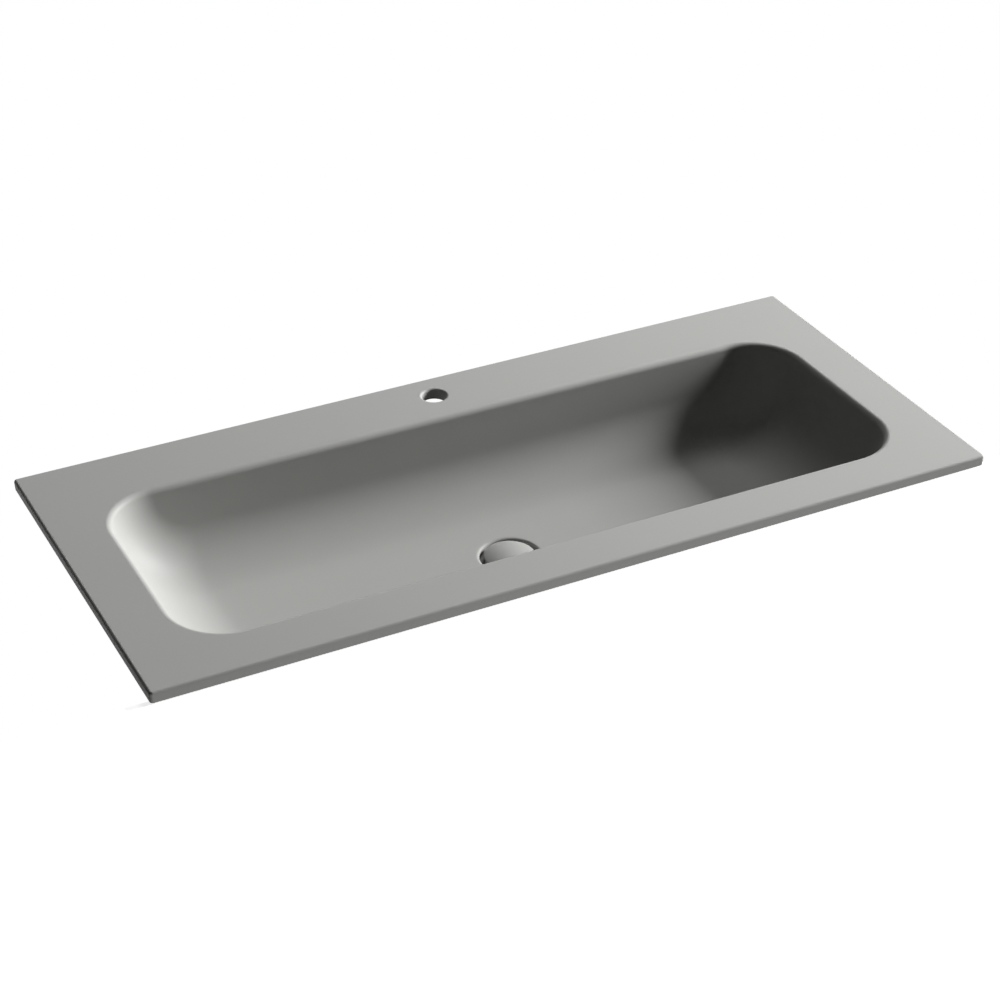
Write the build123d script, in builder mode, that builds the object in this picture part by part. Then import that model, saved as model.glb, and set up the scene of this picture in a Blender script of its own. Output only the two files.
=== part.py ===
from build123d import *
import math
import os

os.makedirs("parts", exist_ok=True)

# Vanity sink top: one ceramic casting with a push-open waste in its floor.
# Millimetres and degrees. X runs along the wall, Y points back into the wall, Z is up.
# The origin is where the wall and the top of the cabinet meet, halfway along the sink top.

# Ceramic rim
overall_length = 1200
overall_depth = 532
rim_thickness = 16
plan_corner_radius = 5
top_edge_radius = 3.5

# Ledges round the bowl, measured to the line where its walls would meet the top of the rim
back_ledge = 109
front_ledge = 73
side_ledge = 78

# Bowl, whose upright corners and long floor edges share one radius
bowl_depth = 132
floor_sag = 6
bowl_side_radius = 77
bowl_end_radius = 130
lip_radius = 12.5
wall_draft = 8
wall_thickness = 12
underside_root_radius = 9

# Tap hole
tap_hole_radius = 17.5
tap_hole_setback = 48
tap_hole_lip = 3.5

# Drain recess in the floor of the bowl, and the thick boss below it
recess_radius = 41
recess_depth = 11
recess_lip_radius = 5
recess_foot_radius = 2
drain_hole_radius = 23
drain_seat_thickness = 14
drain_boss_wall = 11
drain_boss_root_radius = 5
drain_boss_edge_radius = 2

# Waste body, a flanged tube threaded outside for its nut and for the trap.
# The thread is drawn at its full radius where it is free, and at its pitch radius in the nut.
thread_radius = 20.955
thread_pitch_radius = 20.216
waste_bore_radius = 18
tail_bore_radius = 18.5
waste_flange_radius = 32
waste_flange_thickness = 2.2
waste_mouth_chamfer = 3.3
flange_rim_chamfer = 0.8
waste_tube_length = 78
tail_chamfer = 1
web_drop = 50
web_height = 10
spoke_width = 4
spoke_count = 4
hub_radius = 9

# Rings that clamp the waste to the ceramic
flange_gasket_thickness = 2
flange_gasket_radius = 30.5
cone_gasket_radius = 29
cone_gasket_foot_radius = 26
cone_gasket_height = 9
cone_nose_height = 3
slip_washer_radius = 29
slip_washer_thickness = 1.5
backnut_width = 54
backnut_height = 9
backnut_chamfer = 1.5

# Waste cover, a ceramic dome on a metal carrier with a rubber ring between them
cover_radius = 35.5
cover_edge_height = 5
cover_rise = 6.5
cover_edge_radius = 1.8
cover_foot_chamfer = 0.8
cover_socket_depth = 1
carrier_radius = 18.5
carrier_lip_radius = 19.7
carrier_lip_thickness = 1
carrier_boss_radius = 6
seal_radius = 26
seal_thickness = 2.2
seal_edge_chamfer = 0.7

# Push-open cartridge, screwed into the hub of the waste body
cover_travel = 8
cartridge_radius = 8.2
cartridge_bore_radius = 6.2
cartridge_height = 33
cartridge_floor = 2
spigot_radius = 5
spigot_length = 9
cap_thickness = 2.5
cap_plug_height = 2.5
wrench_flat_width = 14
guide_rib_count = 4
guide_rib_width = 3
guide_rib_height = 1.1
guide_rib_length = 12.5
rod_radius = 3.95
piston_height = 3.5
pin_radius = 2.4
pin_length = 11
stud_radius = 2.5
stud_engagement = 7
stud_chamfer = 0.4
ratchet_height = 4.5
tooth_count = 8
tooth_height = 1.1
tooth_width = 3.2
spring_radius = 4.2
spring_wire_radius = 0.4
spring_turns = 4

# Clearances, and the overrun of every cut
running_clearance = 0.05
thread_clearance = 0.1
ring_clearance = 0.3
seal_gap = 0.2
stop_gap = 0.1
slot_clearance = 0.2
overrun = 5

# Sizes and heights worked out from the sizes above
opening_length = overall_length - 2 * side_ledge
opening_width = overall_depth - back_ledge - front_ledge
floor_level = rim_thickness - bowl_depth
seat_level = floor_level - recess_depth
boss_level = seat_level - drain_seat_thickness
flange_underside = seat_level + flange_gasket_thickness
flange_top = flange_underside + waste_flange_thickness
tail_level = flange_underside - waste_tube_length
hub_top = flange_top - web_drop
web_foot = hub_top - web_height
washer_top = boss_level - cone_gasket_height
backnut_top = washer_top - slip_washer_thickness
backnut_foot = backnut_top - backnut_height
seal_bottom = flange_top + seal_gap
cover_bottom = seal_bottom + seal_thickness
cover_shoulder = cover_bottom + cover_edge_height
cartridge_top = hub_top + cartridge_height
cap_top = cartridge_top + cap_thickness
stop_level = cartridge_top - cap_plug_height
piston_top = stop_level - cover_travel - stop_gap
piston_bottom = piston_top - piston_height
ratchet_bottom = piston_bottom - ratchet_height
spring_foot = hub_top + cartridge_floor
rod_top = cap_top + stop_gap + ring_clearance

# The drain is in the middle of the bowl
drain_y = -back_ledge - opening_width / 2
draft = math.radians(wall_draft)


def at_drain(height):
    """A level plane centred on the drain."""
    return Plane((0, drain_y, height))


# A radial section of the waste: sketch X is the distance from its axis, sketch Y is the height
drain_section = Plane((0, drain_y, 0), x_dir=(1, 0, 0), z_dir=(0, -1, 0))
drain_axis = Axis((0, drain_y, 0), (0, 0, 1))


def bowl_form(skin, top):
    """The space inside the bowl, or with a skin the outside of its walls, up to the height top."""
    spread = skin / math.cos(draft) + (top - rim_thickness) * math.tan(draft)
    length = opening_length + 2 * spread
    width = opening_width + 2 * spread
    lowest = floor_level - skin
    half_length = opening_length / 2
    with BuildPart() as form:
        with BuildSketch(at_drain(top)):
            Rectangle(length, width)
        extrude(amount=lowest - top, taper=wall_draft)
        with BuildSketch(drain_section):
            with BuildLine():
                bed = ThreePointArc(
                    (-half_length, lowest + floor_sag),
                    (0, lowest),
                    (half_length, lowest + floor_sag),
                )
                Polyline(
                    bed @ 1,
                    (length, lowest + floor_sag),
                    (length, top),
                    (-length, top),
                    (-length, lowest + floor_sag),
                    bed @ 0,
                )
            make_face()
        extrude(amount=width, both=True, mode=Mode.INTERSECT)
        bed_edges = form.faces().sort_by(Axis.Z)[0].edges().sort_by(Axis.X)
        fillet((bed_edges[0], bed_edges[-1]), bowl_end_radius + skin)
        for side in form.faces().sort_by(Axis.Y)[0], form.faces().sort_by(Axis.Y)[-1]:
            fillet(side.edges().sort_by(Axis.Z)[:-1], bowl_side_radius + skin)
    return form.part


# Ceramic sink top
bowl_outside = bowl_form(wall_thickness, rim_thickness / 2)
bowl_inside = bowl_form(0, rim_thickness + overrun)

with BuildPart() as sink_top:
    with BuildSketch():
        with Locations((0, -overall_depth / 2)):
            RectangleRounded(overall_length, overall_depth, plan_corner_radius)
    extrude(amount=rim_thickness)
    add(bowl_outside)
    with BuildSketch(at_drain(boss_level)):
        Circle(recess_radius + drain_boss_wall)
    extrude(until=Until.NEXT)
    boss_root = sink_top.edges(Select.LAST).sort_by(Axis.Z)[-1]
    fillet(boss_root, drain_boss_root_radius)
    boss_foot = sink_top.faces().sort_by(Axis.Z)[0]
    fillet(boss_foot.edges(), drain_boss_edge_radius)
    underside = sink_top.faces().filter_by(Plane.XY).group_by(Axis.Z)[-2][0]
    fillet(underside.inner_wires()[0].edges(), underside_root_radius)
    add(bowl_inside, mode=Mode.SUBTRACT)

    # Recess for the cover, and the hole for the waste
    with BuildSketch(at_drain(seat_level)):
        Circle(recess_radius)
    extrude(amount=recess_depth + overrun, mode=Mode.SUBTRACT)
    recess_edges = sink_top.edges(Select.LAST).sort_by(Axis.Z)
    fillet(recess_edges[-1], recess_lip_radius)
    fillet(recess_edges[0], recess_foot_radius)
    with BuildSketch(at_drain(boss_level - overrun)):
        Circle(drain_hole_radius)
    extrude(amount=drain_seat_thickness + recess_depth + overrun, mode=Mode.SUBTRACT)

    # Tap hole
    with BuildSketch(Plane.XY.offset(-overrun)):
        with Locations((0, -tap_hole_setback)):
            Circle(tap_hole_radius)
    extrude(amount=rim_thickness + 2 * overrun, mode=Mode.SUBTRACT)

    # Soft upper edges of the bowl, the tap hole and the rim, which rests on a square lower edge
    deck = sink_top.faces().filter_by(Plane.XY).sort_by(Axis.Z)[-1]
    fillet(deck.inner_wires().sort_by(SortBy.LENGTH)[-1].edges(), lip_radius)
    deck = sink_top.faces().filter_by(Plane.XY).sort_by(Axis.Z)[-1]
    fillet(deck.inner_wires().sort_by(SortBy.LENGTH)[0].edges(), tap_hole_lip)
    deck = sink_top.faces().filter_by(Plane.XY).sort_by(Axis.Z)[-1]
    fillet(deck.outer_wire().edges(), top_edge_radius)

sink_top.part.label = "sink_top"
export_step(sink_top.part, "parts/sink_top.step")


# Waste body: flange, dished mouth, threaded tube, and the web that carries the cartridge
with BuildPart() as waste_body:
    with BuildSketch(drain_section):
        with BuildLine():
            Polyline(
                (tail_bore_radius, tail_level),
                (thread_radius - tail_chamfer, tail_level),
                (thread_radius, tail_level + tail_chamfer),
                (thread_radius, backnut_foot - thread_clearance),
                (thread_pitch_radius, backnut_foot - thread_clearance),
                (thread_pitch_radius, flange_underside),
                (waste_flange_radius, flange_underside),
                (waste_flange_radius, flange_top),
                (waste_bore_radius + waste_mouth_chamfer, flange_top),
                (waste_bore_radius, flange_top - waste_mouth_chamfer),
                (waste_bore_radius, web_foot),
                (tail_bore_radius, web_foot),
                close=True,
            )
        make_face()
    revolve(axis=drain_axis)
    flange_rim = waste_body.edges().filter_by(GeomType.CIRCLE).sort_by(SortBy.RADIUS)[-2:]
    chamfer(flange_rim.sort_by(Axis.Z)[-1], flange_rim_chamfer)
    with BuildSketch(at_drain(hub_top)):
        with PolarLocations(0, spoke_count):
            Rectangle(
                (waste_bore_radius + thread_pitch_radius) / 2,
                spoke_width,
                align=(Align.MIN, Align.CENTER),
            )
        Circle(hub_radius)
    extrude(amount=-web_height)
    with BuildSketch(at_drain(hub_top)):
        Circle(spigot_radius + thread_clearance)
    extrude(amount=-web_height, mode=Mode.SUBTRACT)

waste_body.part.label = "waste_body"
export_step(waste_body.part, "parts/waste_body.step")

# Flat gasket between the flange and the ceramic
with BuildPart() as flange_gasket:
    with BuildSketch(at_drain(seat_level)):
        Circle(flange_gasket_radius)
        Circle(thread_radius + ring_clearance, mode=Mode.SUBTRACT)
    extrude(amount=flange_gasket_thickness)

flange_gasket.part.label = "flange_gasket"
export_step(flange_gasket.part, "parts/flange_gasket.step")

# Rubber cone below the boss, with a nose that centres it in the hole
with BuildPart() as cone_gasket:
    with BuildSketch(drain_section):
        with BuildLine():
            Polyline(
                (thread_radius + ring_clearance, washer_top),
                (cone_gasket_foot_radius, washer_top),
                (cone_gasket_radius, boss_level - cone_gasket_height / 2),
                (cone_gasket_radius, boss_level),
                (drain_hole_radius - ring_clearance, boss_level),
                (drain_hole_radius - ring_clearance, boss_level + cone_nose_height / 2),
                (thread_radius + ring_clearance, boss_level + cone_nose_height),
                close=True,
            )
        make_face()
    revolve(axis=drain_axis)

cone_gasket.part.label = "cone_gasket"
export_step(cone_gasket.part, "parts/cone_gasket.step")

# Slip washer that lets the nut turn without dragging the rubber
with BuildPart() as slip_washer:
    with BuildSketch(at_drain(backnut_top)):
        Circle(slip_washer_radius)
        Circle(thread_radius + ring_clearance, mode=Mode.SUBTRACT)
    extrude(amount=slip_washer_thickness)

slip_washer.part.label = "slip_washer"
export_step(slip_washer.part, "parts/slip_washer.step")

# Backnut, a hexagon with its corners turned off above and below
backnut_corner_radius = backnut_width / math.sqrt(3)
with BuildPart() as backnut:
    with BuildSketch(at_drain(backnut_foot)):
        RegularPolygon(backnut_width / 2, 6, major_radius=False)
        Circle(thread_pitch_radius + thread_clearance, mode=Mode.SUBTRACT)
    extrude(amount=backnut_height)
    with BuildSketch(drain_section):
        with BuildLine():
            Polyline(
                (0, backnut_foot),
                (backnut_corner_radius - backnut_chamfer, backnut_foot),
                (backnut_corner_radius, backnut_foot + backnut_chamfer),
                (backnut_corner_radius, backnut_top - backnut_chamfer),
                (backnut_corner_radius - backnut_chamfer, backnut_top),
                (0, backnut_top),
                close=True,
            )
        make_face()
    revolve(axis=drain_axis, mode=Mode.INTERSECT)

backnut.part.label = "backnut"
export_step(backnut.part, "parts/backnut.step")


# Waste cover: a ceramic dome with a shallow socket below for its carrier
with BuildPart() as waste_cover:
    with BuildSketch(drain_section):
        with BuildLine():
            Polyline(
                (0, cover_shoulder + cover_rise),
                (0, cover_bottom),
                (cover_radius, cover_bottom),
                (cover_radius, cover_shoulder),
            )
            TangentArc((0, cover_shoulder + cover_rise), (cover_radius, cover_shoulder), tangent=(1, 0))
        dome = make_face()
        rim = dome.vertices().group_by(Axis.X)[-1].sort_by(Axis.Y)
        fillet(rim[-1], cover_edge_radius)
        chamfer(rim[0], cover_foot_chamfer)
    revolve(axis=drain_axis)
    with BuildSketch(at_drain(cover_bottom)):
        Circle(carrier_radius + slot_clearance)
    extrude(amount=cover_socket_depth, mode=Mode.SUBTRACT)

waste_cover.part.label = "waste_cover"
export_step(waste_cover.part, "parts/waste_cover.step")

# Carrier bonded into the cover: a disc with a lip below the seal and a boss for the stud
carrier_foot = seal_bottom - carrier_lip_thickness
with BuildPart() as cover_carrier:
    with BuildSketch(drain_section):
        with BuildLine():
            Polyline(
                (0, cover_bottom + cover_socket_depth),
                (0, rod_top),
                (carrier_boss_radius, rod_top),
                (carrier_boss_radius, carrier_foot),
                (carrier_lip_radius, carrier_foot),
                (carrier_lip_radius, seal_bottom),
                (carrier_radius, seal_bottom),
                (carrier_radius, cover_bottom + cover_socket_depth),
                close=True,
            )
        make_face()
    revolve(axis=drain_axis)
    with BuildSketch(at_drain(rod_top)):
        Circle(stud_radius + thread_clearance)
    extrude(amount=stud_engagement + stop_gap, mode=Mode.SUBTRACT)

cover_carrier.part.label = "cover_carrier"
export_step(cover_carrier.part, "parts/cover_carrier.step")

# Seal round the carrier, which closes on the flat of the flange
with BuildPart() as cover_seal:
    with BuildSketch(at_drain(seal_bottom)):
        Circle(seal_radius)
        Circle(carrier_radius, mode=Mode.SUBTRACT)
    extrude(amount=seal_thickness)
    seal_rims = cover_seal.edges().filter_by(GeomType.CIRCLE).sort_by(SortBy.RADIUS)[-2:]
    chamfer(seal_rims, seal_edge_chamfer)

cover_seal.part.label = "cover_seal"
export_step(cover_seal.part, "parts/cover_seal.step")

# Stud that joins the carrier to the push rod
with BuildPart() as cover_stud:
    with BuildSketch(at_drain(rod_top - stud_engagement)):
        Circle(stud_radius)
    extrude(amount=2 * stud_engagement)
    chamfer(cover_stud.edges().filter_by(GeomType.CIRCLE), stud_chamfer)

cover_stud.part.label = "cover_stud"
export_step(cover_stud.part, "parts/cover_stud.step")


# One tooth of the crown, pointing down along X from the axis of the drain
def crown_tooth(width, height, reach):
    """A radial ridge whose flat top lies in the XY plane."""
    with BuildPart() as tooth:
        with BuildSketch(Plane.YZ):
            with BuildLine():
                Polyline((-width / 2, 0), (width / 2, 0), (0, -height), close=True)
            make_face()
        extrude(amount=reach)
    return tooth.part


guide_circle = cartridge_bore_radius - guide_rib_height
ratchet_radius = guide_circle - slot_clearance

# Push rod: a stem through the cap, a slotted piston with a crown of teeth, and a guide pin
with BuildPart() as push_rod:
    with BuildSketch(at_drain(piston_bottom)):
        Circle(cartridge_bore_radius - running_clearance)
        with PolarLocations(guide_circle - slot_clearance, guide_rib_count):
            Rectangle(
                guide_rib_height + cartridge_radius,
                guide_rib_width + 2 * slot_clearance,
                align=(Align.MIN, Align.CENTER),
                mode=Mode.SUBTRACT,
            )
    extrude(amount=piston_height)
    with BuildSketch(at_drain(piston_top)):
        Circle(rod_radius)
    extrude(amount=rod_top - piston_top)
    with BuildSketch(at_drain(piston_bottom)):
        Circle(pin_radius)
    extrude(amount=-pin_length)
    with Locations(at_drain(piston_bottom)):
        with PolarLocations(0, tooth_count):
            add(crown_tooth(tooth_width - slot_clearance, tooth_height - stop_gap, ratchet_radius))
    with BuildSketch(at_drain(rod_top)):
        Circle(stud_radius + thread_clearance)
    extrude(amount=-stud_engagement - stop_gap, mode=Mode.SUBTRACT)

push_rod.part.label = "push_rod"
export_step(push_rod.part, "parts/push_rod.step")

# Ratchet ring: grooves that take the crown, and ribs that run between the guide ribs
with BuildPart() as ratchet_ring:
    with BuildSketch(at_drain(ratchet_bottom)):
        Circle(ratchet_radius)
        with PolarLocations(0, guide_rib_count, start_angle=180 / guide_rib_count):
            Rectangle(
                cartridge_bore_radius - slot_clearance,
                guide_rib_width,
                align=(Align.MIN, Align.CENTER),
            )
        Circle(pin_radius + thread_clearance, mode=Mode.SUBTRACT)
    extrude(amount=ratchet_height)
    with Locations(at_drain(piston_bottom)):
        with PolarLocations(0, tooth_count):
            add(crown_tooth(tooth_width, tooth_height, cartridge_radius), mode=Mode.SUBTRACT)

ratchet_ring.part.label = "ratchet_ring"
export_step(ratchet_ring.part, "parts/ratchet_ring.step")

# Spring of square wire below the ratchet ring, pressed together as it is with the cover shut
spring_height = ratchet_bottom - spring_foot - 2 * spring_wire_radius
with BuildPart() as return_spring:
    with BuildLine(at_drain(spring_foot + spring_wire_radius)):
        coil = Helix(spring_height / spring_turns, spring_height, spring_radius)
    with BuildSketch(Plane(coil @ 0, z_dir=coil % 0)):
        Rectangle(2 * spring_wire_radius, 2 * spring_wire_radius)
    sweep(path=coil, is_frenet=True)

return_spring.part.label = "return_spring"
export_step(return_spring.part, "parts/return_spring.step")

# Cartridge body: a bored sleeve with guide ribs, wrench flats and a threaded spigot
with BuildPart() as cartridge_body:
    with BuildSketch(at_drain(hub_top)):
        Circle(cartridge_radius)
        Rectangle(2 * cartridge_radius, wrench_flat_width, mode=Mode.INTERSECT)
    extrude(amount=cartridge_height)
    with BuildSketch(at_drain(hub_top)):
        Circle(spigot_radius)
    extrude(amount=-spigot_length)
    with BuildSketch(at_drain(spring_foot)):
        Circle(cartridge_bore_radius)
    extrude(amount=cartridge_height, mode=Mode.SUBTRACT)
    with BuildSketch(at_drain(stop_level)):
        with PolarLocations(guide_circle, guide_rib_count):
            Rectangle(
                (cartridge_bore_radius + wrench_flat_width / 2) / 2 - guide_circle,
                guide_rib_width,
                align=(Align.MIN, Align.CENTER),
            )
    extrude(amount=-guide_rib_length)

cartridge_body.part.label = "cartridge_body"
export_step(cartridge_body.part, "parts/cartridge_body.step")

# Cartridge cap: guides the rod and stops the piston when the cover is up
with BuildPart() as cartridge_cap:
    with BuildSketch(at_drain(cartridge_top)):
        Circle(cartridge_radius)
    extrude(amount=cap_thickness)
    with BuildSketch(at_drain(cartridge_top)):
        Circle(cartridge_bore_radius - thread_clearance)
    extrude(amount=-cap_plug_height)
    with BuildSketch(at_drain(stop_level)):
        Circle(rod_radius + running_clearance)
    extrude(amount=cap_top - stop_level, mode=Mode.SUBTRACT)

cartridge_cap.part.label = "cartridge_cap"
export_step(cartridge_cap.part, "parts/cartridge_cap.step")
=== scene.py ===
import math
import bmesh
import bpy
import numpy as np
from mathutils import Matrix, Vector
from mathutils.geometry import tessellate_polygon


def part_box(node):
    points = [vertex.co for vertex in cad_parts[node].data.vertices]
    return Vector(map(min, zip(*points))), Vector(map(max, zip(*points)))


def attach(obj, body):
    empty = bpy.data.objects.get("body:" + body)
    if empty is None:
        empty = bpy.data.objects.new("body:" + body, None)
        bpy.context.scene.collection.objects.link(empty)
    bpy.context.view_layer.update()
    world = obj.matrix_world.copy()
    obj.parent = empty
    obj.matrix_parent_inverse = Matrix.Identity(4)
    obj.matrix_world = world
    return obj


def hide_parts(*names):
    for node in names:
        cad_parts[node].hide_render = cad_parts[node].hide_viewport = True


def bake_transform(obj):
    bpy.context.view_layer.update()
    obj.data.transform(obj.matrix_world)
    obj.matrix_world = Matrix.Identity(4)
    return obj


# Vanity sink top: one matt grey ceramic casting with its push-open waste.
# Metres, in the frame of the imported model: X along the wall, Y back into the wall, Z up.

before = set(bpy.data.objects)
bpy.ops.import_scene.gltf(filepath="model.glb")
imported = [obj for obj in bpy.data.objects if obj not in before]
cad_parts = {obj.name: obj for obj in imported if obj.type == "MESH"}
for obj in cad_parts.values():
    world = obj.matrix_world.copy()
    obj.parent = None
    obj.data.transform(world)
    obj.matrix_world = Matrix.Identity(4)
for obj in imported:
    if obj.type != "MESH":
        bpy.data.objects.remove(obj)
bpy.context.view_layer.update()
print("frame loaded:", len(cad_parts), "nodes")

mm = 0.001
nearby = 0.001 * mm                          # points closer than this are one point
poleRadius = 0.4 * mm                        # the last ring before a turned surface closes on its axis
wasteLow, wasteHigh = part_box("waste_body")
drainY = (wasteLow.y + wasteHigh.y) / 2      # the waste stands on the axis x = 0, y = drainY


# Shapes: every new piece is one or more closed surfaces, worked out as whole arrays

def gridFaces(rows, cols, loop=False, ring=True):
    # Quads between neighbours of a grid of points; rows close in a loop, columns in a ring
    i = np.arange(rows if loop else rows - 1)[:, None]
    j = np.arange(cols if ring else cols - 1)[None, :]
    down, across = (i + 1) % rows, (j + 1) % cols
    corners = (i * cols + j, i * cols + across, down * cols + across, down * cols + j)
    return np.stack(np.broadcast_arrays(*corners), axis=-1).reshape(-1, 4)


def slerp(first, last, t):
    # One unit vector turned into another at a steady rate: (sin((1 - t) a) first + sin(t a) last) / sin a
    a = np.arccos(np.clip((first * last).sum(axis=-1, keepdims=True), -1, 1))
    return (np.sin((1 - t) * a) * first + np.sin(t * a) * last) / np.sin(a)


def arcBetween(before, corner, after, radius, steps):
    # An arc of the radius that touches both legs of a corner: centre + radius times the unit vectors
    # from its first tangent point to its last, turned at a steady rate
    a, b = before - corner, after - corner
    a, b = a / np.linalg.norm(a), b / np.linalg.norm(b)
    half = math.acos(float(np.clip(a @ b, -1, 1))) / 2
    centre = corner + (a + b) / np.linalg.norm(a + b) * radius / math.sin(half)
    first = (corner + a * radius / math.tan(half) - centre) / radius
    last = (corner + b * radius / math.tan(half) - centre) / radius
    sweep = math.pi - 2 * half
    t = np.linspace(0, 1, steps + 1)[:, None]
    return centre + radius * (np.sin((1 - t) * sweep) * first + np.sin(t * sweep) * last) / math.sin(sweep)


def roundedProfile(corners, steps=6, loop=False):
    # Corners of (distance, height, rounding radius) joined by straight runs, each rounded by its arc
    places = np.array([corner[:2] for corner in corners], float)
    count = len(corners)
    parts = []
    for k, corner in enumerate(corners):
        ends = not loop and k in (0, count - 1)
        if ends or corner[2] == 0:
            parts.append(places[k:k + 1])
        else:
            parts.append(arcBetween(places[k - 1], places[k], places[(k + 1) % count], corner[2], steps))
    return np.concatenate(parts)


def edged(places, edges):
    # Puts a rounding, given in millimetres, on each (distance, height) of a profile
    return [(*place, edge * mm) for place, edge in zip(places, edges)]


def denser(profile, longest, loop=False):
    # Puts even points on each run of a profile that is longer than asked
    ends = np.roll(profile, -1, axis=0) if loop else profile[1:]
    starts = profile if loop else profile[:-1]
    parts = []
    for start, end in zip(starts, ends):
        pieces = max(1, math.ceil(np.linalg.norm(end - start) / longest))
        parts.append(start + (end - start) * (np.arange(pieces) / pieces)[:, None])
    return np.concatenate(parts if loop else parts + [profile[-1:]])


def turned(profile, columns=96, loop=False, centre=(0.0, drainY), capped=True):
    # A profile carried round an upright axis: x = r cos a, y = r sin a. Where it is no loop, a fan closes
    # each end on the axis. r may also differ from column to column.
    radius, height = profile[..., 0], profile[..., 1]
    if radius.ndim == 1:
        radius, height = radius[:, None], height[:, None]
    a = np.arange(columns) * 2 * math.pi / columns
    radius, height, a = np.broadcast_arrays(radius, height, a[None, :])
    points = np.stack([centre[0] + radius * np.cos(a), centre[1] + radius * np.sin(a), height], axis=-1)
    rows = len(points)
    faces = gridFaces(rows, columns, loop).tolist()
    points = points.reshape(-1, 3)
    if not loop and capped:
        j = np.arange(columns)
        across = (j + 1) % columns
        first, last = len(points), len(points) + 1
        poles = [[*centre, height[0].mean()], [*centre, height[-1].mean()]]
        points = np.concatenate([points, poles])
        low = (rows - 1) * columns
        faces += np.stack([np.full(columns, first), across, j], axis=-1).tolist()
        faces += np.stack([np.full(columns, last), low + j, low + across], axis=-1).tolist()
    return points, faces


def weld(mesh, evenFlats=False):
    # Merges points that coincide and turns the faces outwards. evenFlats first redraws the triangles of
    # the level faces, so that none of them is a sliver.
    work = bmesh.new()
    work.from_mesh(mesh)
    bmesh.ops.remove_doubles(work, verts=work.verts, dist=nearby)
    if evenFlats:
        flats = [face for face in work.faces
                 if len(face.verts) == 3 and np.ptp([point.co.z for point in face.verts]) < nearby]
        chosen = set(flats)
        inner = [edge for edge in work.edges if all(face in chosen for face in edge.link_faces)]
        bmesh.ops.beautify_fill(work, faces=flats, edges=inner)
    bmesh.ops.recalc_face_normals(work, faces=work.faces)
    work.to_mesh(mesh)
    work.free()


def placePiece(name, mesh, material, body, nodes, sharp):
    # Makes a smooth object of the mesh, on the body it moves with and in place of its nodes
    mesh.shade_smooth()
    if sharp:
        mesh.set_sharp_from_angle(angle=math.radians(sharp))
    mesh.materials.clear()
    mesh.materials.append(material)
    piece = bpy.data.objects.new(name, mesh)
    bpy.context.scene.collection.objects.link(piece)
    if body:
        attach(piece, body)
    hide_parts(*nodes)
    return piece


def makePiece(name, surfaces, material, body, nodes, sharp=None, values=None, evenFlats=False):
    # Joins surfaces into one mesh, with any values that are kept at its points
    points, faces, start = [], [], 0
    for surfacePoints, surfaceFaces in surfaces:
        points.append(surfacePoints)
        faces += [[index + start for index in face] for face in surfaceFaces]
        start += len(surfacePoints)
    mesh = bpy.data.meshes.new(name)
    mesh.from_pydata(np.concatenate(points).tolist(), [], faces)
    for key, amounts in (values or {}).items():
        mesh.attributes.new(key, "FLOAT", "POINT").data.foreach_set("value", amounts.astype(np.float32))
    weld(mesh, evenFlats)
    return placePiece(name, mesh, material, body, nodes, sharp)


def fineCopy(name, node, material, body, bevel=0.12 * mm, angle=30):
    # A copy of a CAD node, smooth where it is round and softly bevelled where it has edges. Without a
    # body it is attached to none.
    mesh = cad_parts[node].data.copy()
    mesh.name = name
    weld(mesh)
    piece = placePiece(name, mesh, material, body, [node], angle)
    if bevel:
        edges = piece.modifiers.new("softEdges", "BEVEL")
        edges.width = bevel
        edges.segments = 2
        edges.limit_method = "ANGLE"
        edges.angle_limit = math.radians(angle)
        edges.harden_normals = True
    return piece


# Materials: groups for what several finishes share, then one function for each finish

def newGroup(name, inputs, outputs):
    # A node group with inputs of (label, kind, value) and outputs of (label, kind)
    group = bpy.data.node_groups.new(name, "ShaderNodeTree")
    for label, kind, value in inputs:
        socket = group.interface.new_socket(label, in_out="INPUT", socket_type=kind)
        socket.default_value = value
    for label, kind in outputs:
        group.interface.new_socket(label, in_out="OUTPUT", socket_type=kind)
    return group, group.nodes.new("NodeGroupInput"), group.nodes.new("NodeGroupOutput")


def mathNode(tree, operation, first, second=None, third=None):
    # One Math node; each value is a number or the socket that feeds it
    node = tree.nodes.new("ShaderNodeMath")
    node.operation = operation
    for place, value in enumerate((first, second, third)):
        if value is None:
            continue
        if isinstance(value, (int, float)):
            node.inputs[place].default_value = value
        else:
            tree.links.new(value, node.inputs[place])
    return node.outputs[0]


def scaledColour(tree, colour, factor):
    node = tree.nodes.new("ShaderNodeVectorMath")
    node.operation = "SCALE"
    tree.links.new(colour, node.inputs[0])
    tree.links.new(factor, node.inputs["Scale"])
    return node.outputs[0]


def mixNode(tree, kind, factor, under, over):
    # Goes from under to over with the factor
    node = tree.nodes.new("ShaderNodeMix")
    node.data_type = kind
    tree.links.new(factor, node.inputs["Factor"])
    tree.links.new(under, node.inputs["A"])
    tree.links.new(over, node.inputs["B"])
    return node.outputs["Result"]


def splitNode(tree, vector):
    node = tree.nodes.new("ShaderNodeSeparateXYZ")
    tree.links.new(vector, node.inputs[0])
    return node.outputs


def noiseNode(tree, vector, scale, detail, roughness=0.5):
    node = tree.nodes.new("ShaderNodeTexNoise")
    node.inputs["Detail"].default_value = detail
    node.inputs["Roughness"].default_value = roughness
    if isinstance(scale, (int, float)):
        node.inputs["Scale"].default_value = scale
    else:
        tree.links.new(scale, node.inputs["Scale"])
    tree.links.new(vector, node.inputs["Vector"])
    return node.outputs["Fac"]


grain = {"cloudDetail": 4, "fineDetail": 2, "fineShare": 0.6, "cloudHeight": 0.35,
         "ringDetail": 3, "ringRoughness": 0.6}


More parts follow.
